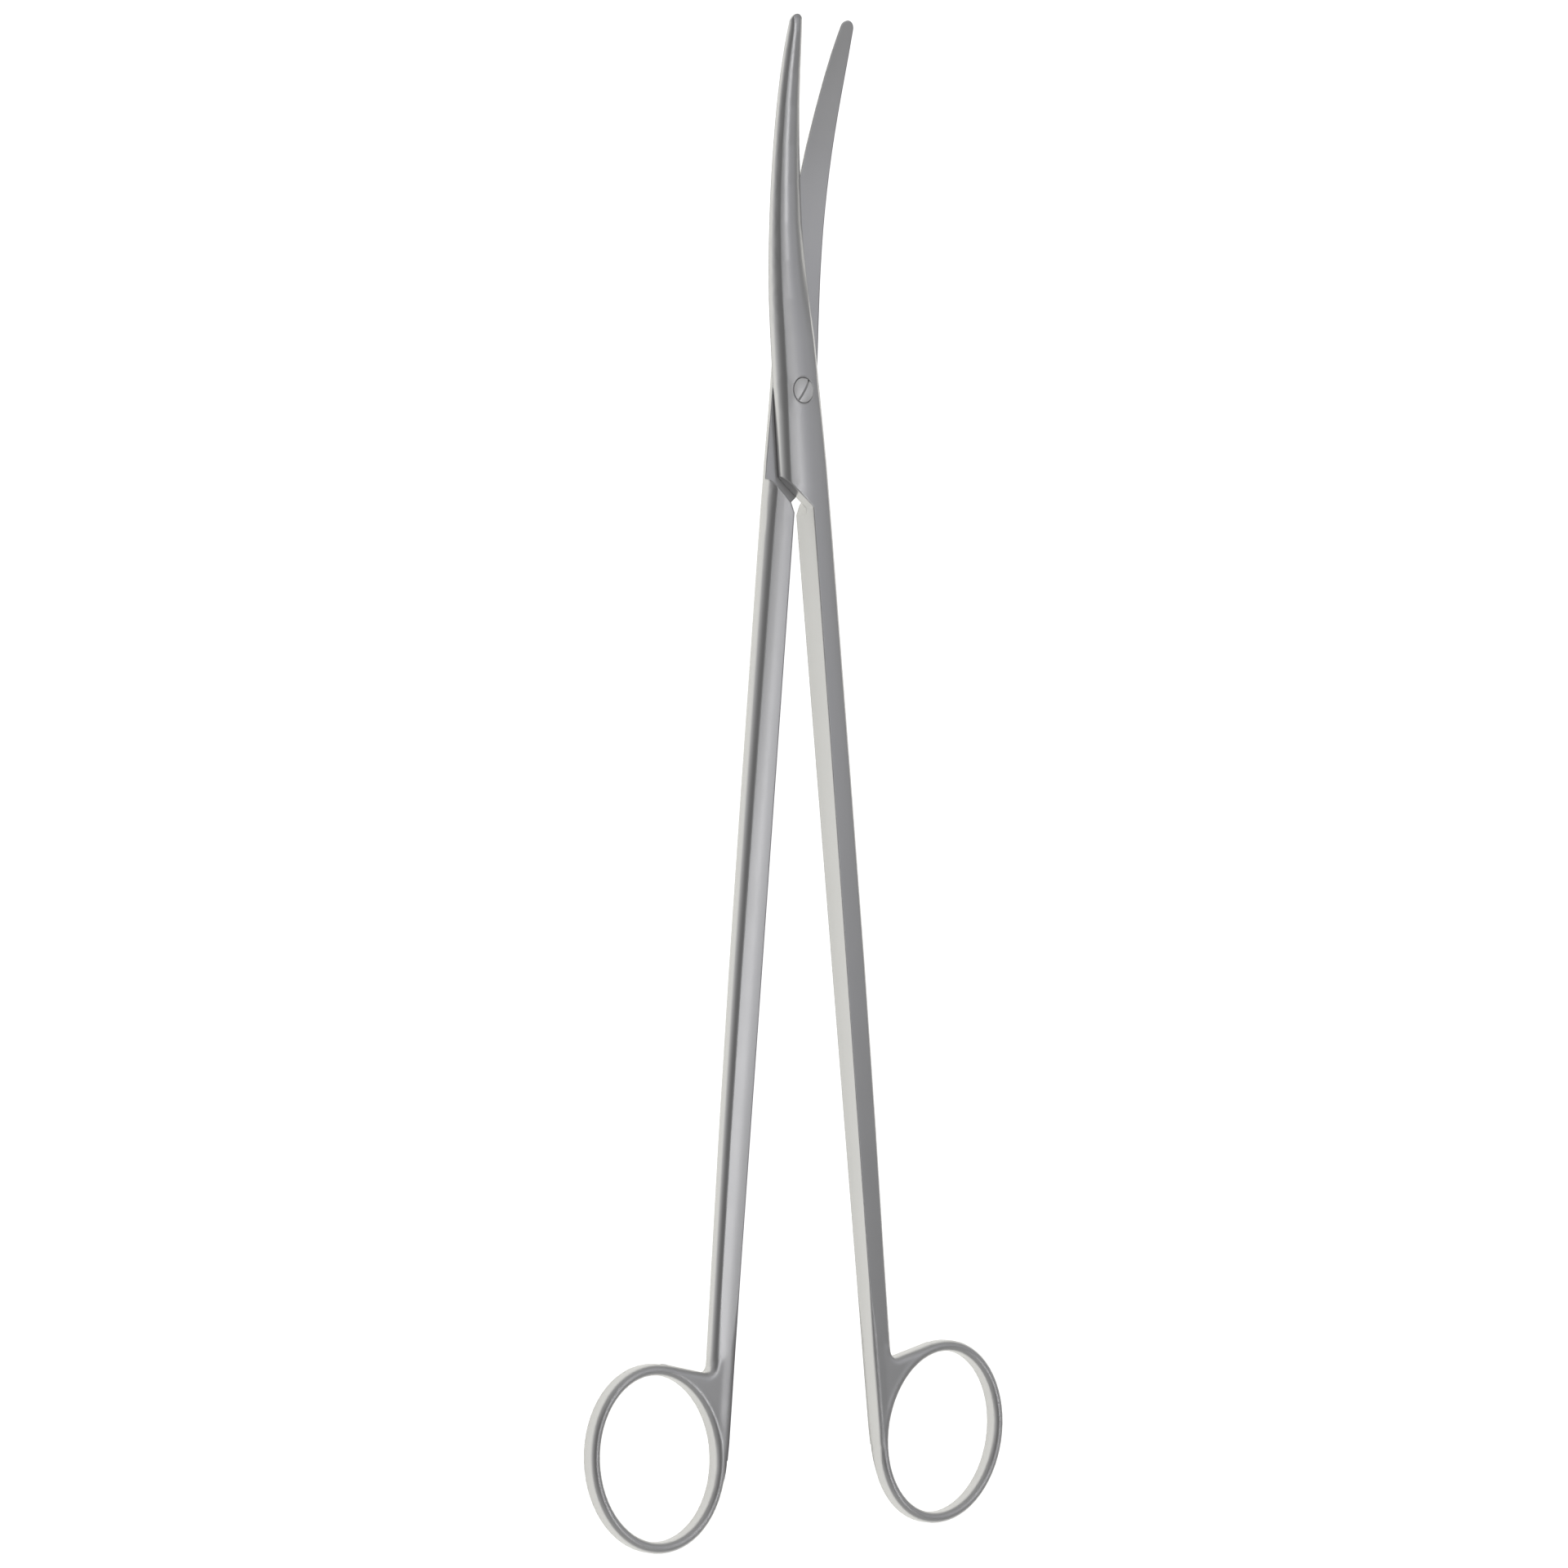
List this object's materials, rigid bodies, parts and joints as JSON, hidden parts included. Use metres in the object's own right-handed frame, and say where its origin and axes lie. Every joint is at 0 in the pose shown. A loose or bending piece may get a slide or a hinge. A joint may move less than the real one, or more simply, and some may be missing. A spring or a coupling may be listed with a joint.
{
  "type": "dissecting scissors",
  "caption": "Slim surgical dissecting scissors with long straight shanks, oval finger rings, narrow curved blades with blunt tips, and a slotted pivot screw.",
  "frame": {"origin": "on the pivot axis, at the back of the joint, which is the plane the scissors lie on", "axes": "+Y from the finger rings to the blade tips along the line midway between the halves, +Z along the pivot axis towards the screw head, +X across to the right seen from the screw head"},
  "size_m": [0.0994, 0.2802, 0.012],
  "materials": {
    "half_steel": "satin, fine grain along the shanks",
    "screw_steel": "satin with a turned rim"
  },
  "bodies": {
    "back": {"back_half": "half_steel", "pivot_screw": "screw_steel"},
    "front": {"front_half": "half_steel"}
  },
  "joints": [
    {"name": "pivot", "type": "hinge", "parent": "back", "child": "front", "pos_m": [0, 0, 0], "axis": [0, 0, 1], "range_deg": [-10.6, 79]}
  ]
}
